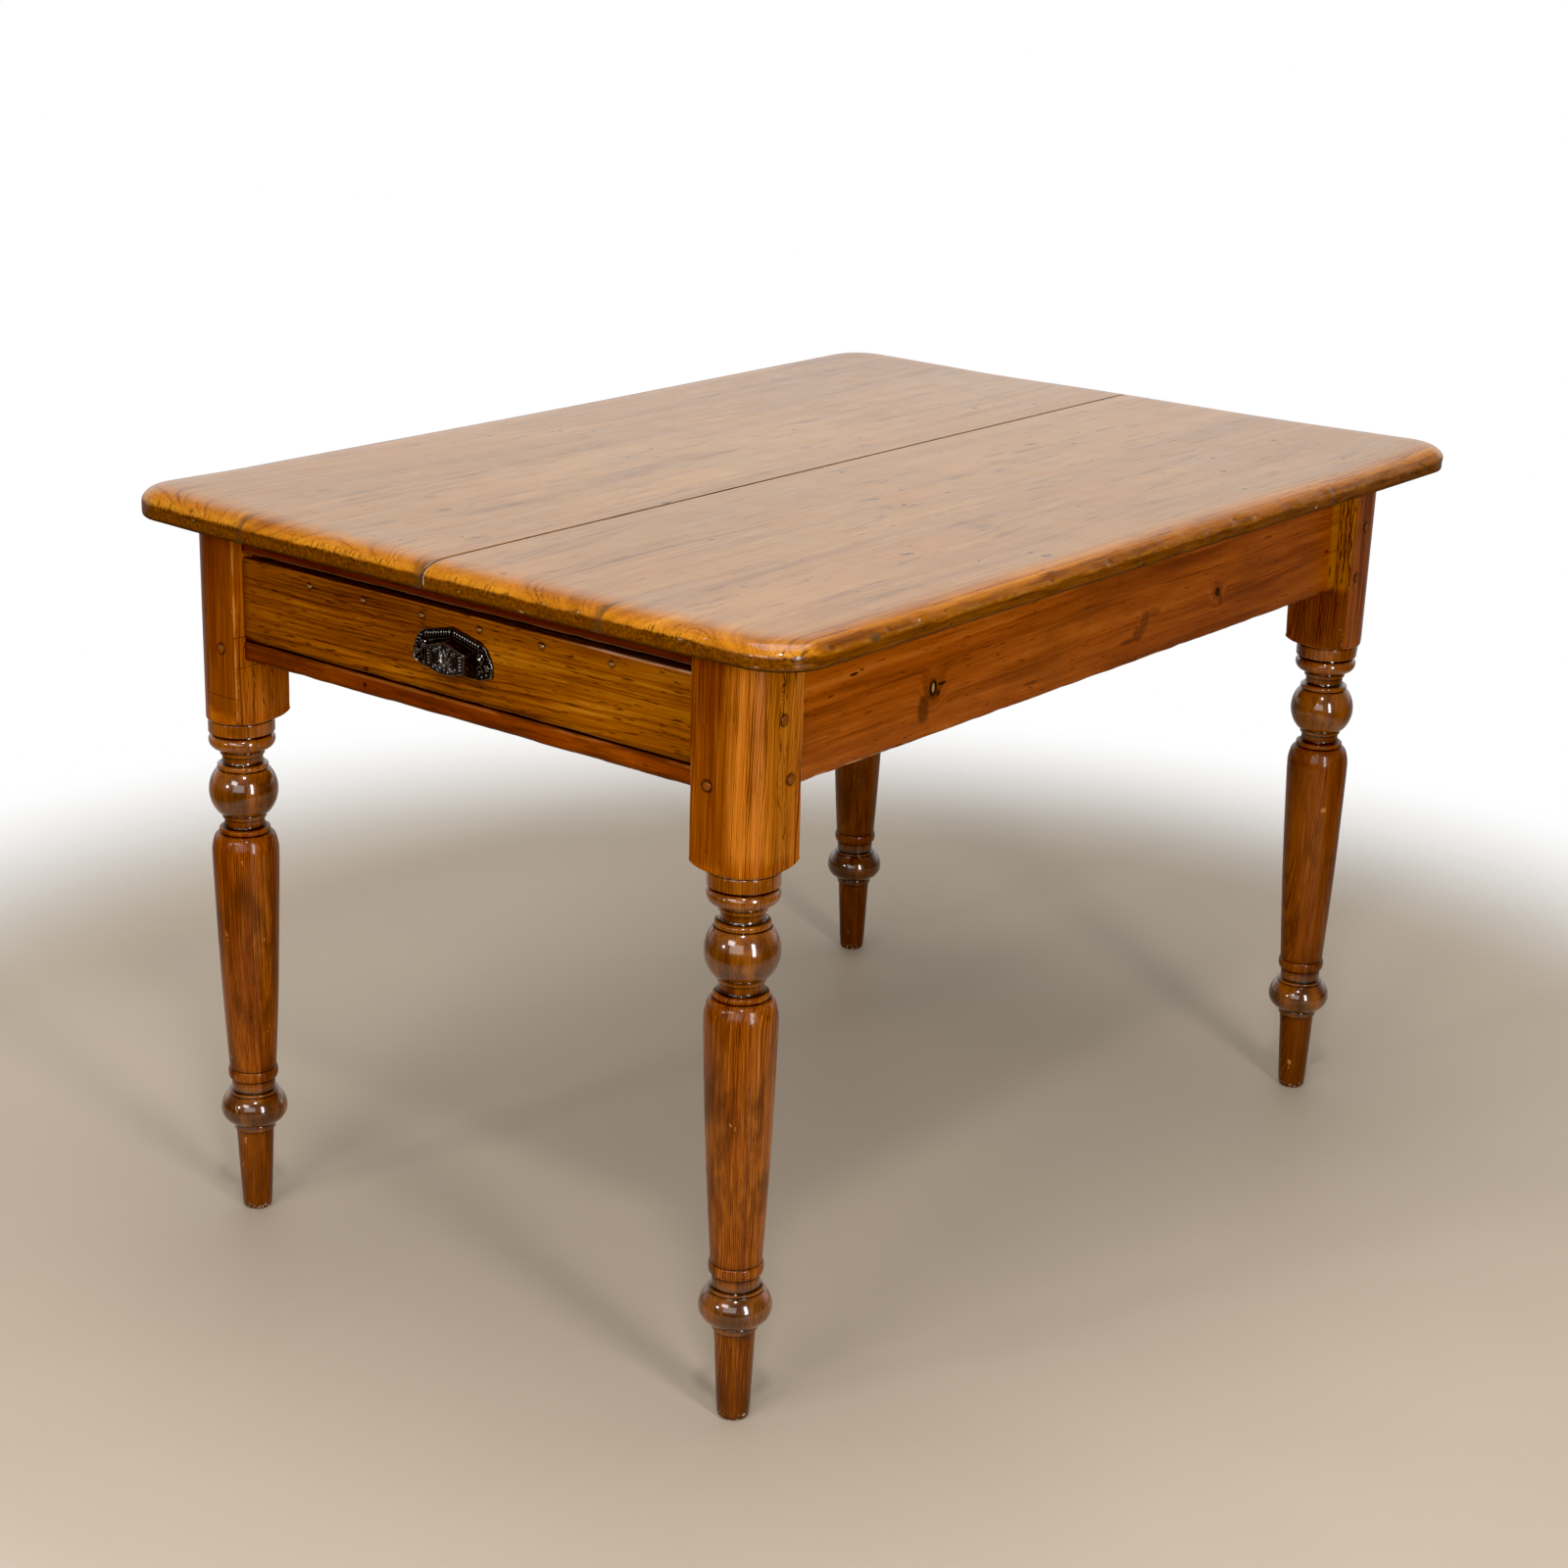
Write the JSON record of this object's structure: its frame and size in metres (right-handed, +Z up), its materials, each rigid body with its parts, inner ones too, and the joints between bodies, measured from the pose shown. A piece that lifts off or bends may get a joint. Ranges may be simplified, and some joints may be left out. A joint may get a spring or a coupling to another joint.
{
  "type": "tavern table",
  "caption": "Pine tavern table on turned legs, with a planked top with worn round edges and an end drawer with a cast-iron cup pull.",
  "frame": {"origin": "on the floor under the middle of the top", "axes": "+X along the length, away from the drawer end; +Y across, to the left as one faces the drawer; +Z up"},
  "size_m": [1.16, 0.84, 0.76],
  "materials": {
    "waxed_pine_top": "satin wax, worn edges",
    "turned_pine": "glossy old varnish and wax",
    "apron_pine": "semi-gloss old varnish",
    "rail_pine": "semi-gloss old varnish",
    "drawer_pine": "semi-gloss old varnish",
    "peg_oak": "end grain, dark with age",
    "raw_pine": "bare, dry, aged",
    "cast_iron_pull": "dark japanned, glossy on the high spots",
    "old_steel": "dull, oxidised",
    "nail_iron": "dull, dark"
  },
  "bodies": {
    "table": {"top_board_1": "waxed_pine_top", "top_board_2": "waxed_pine_top", "top_board_3": "waxed_pine_top", "top_board_4": "waxed_pine_top", "leg_front_right": "turned_pine", "leg_front_left": "turned_pine", "leg_rear_right": "turned_pine", "leg_rear_left": "turned_pine", "side_apron_right": "apron_pine", "side_apron_left": "apron_pine", "end_apron": "apron_pine", "lower_drawer_rail": "rail_pine", "upper_drawer_rail": "rail_pine", "side_apron_pegs": "peg_oak", "drawer_rail_pegs": "peg_oak", "end_apron_pegs": "peg_oak", "drawer_runner_right": "raw_pine", "drawer_runner_left": "raw_pine", "drawer_guide_right": "raw_pine", "drawer_guide_left": "raw_pine", "drawer_kicker_right": "raw_pine", "drawer_kicker_left": "raw_pine", "drawer_stops": "raw_pine", "glue_blocks": "raw_pine", "runner_screws": "old_steel", "kicker_screws": "old_steel", "guide_screws": "old_steel", "top_screws": "old_steel"},
    "drawer": {"drawer_front": "drawer_pine", "drawer_side_right": "raw_pine", "drawer_side_left": "raw_pine", "drawer_back": "raw_pine", "drawer_bottom_front": "raw_pine", "drawer_bottom_rear": "raw_pine", "drawer_front_nails": "nail_iron", "drawer_bottom_nails": "nail_iron", "cup_pull": "cast_iron_pull", "pull_screws": "old_steel"}
  },
  "joints": [
    {"name": "drawer_slide", "type": "slide", "parent": "table", "child": "drawer", "axis": [-1, 0, 0], "range_m": [0, 0.4]}
  ]
}
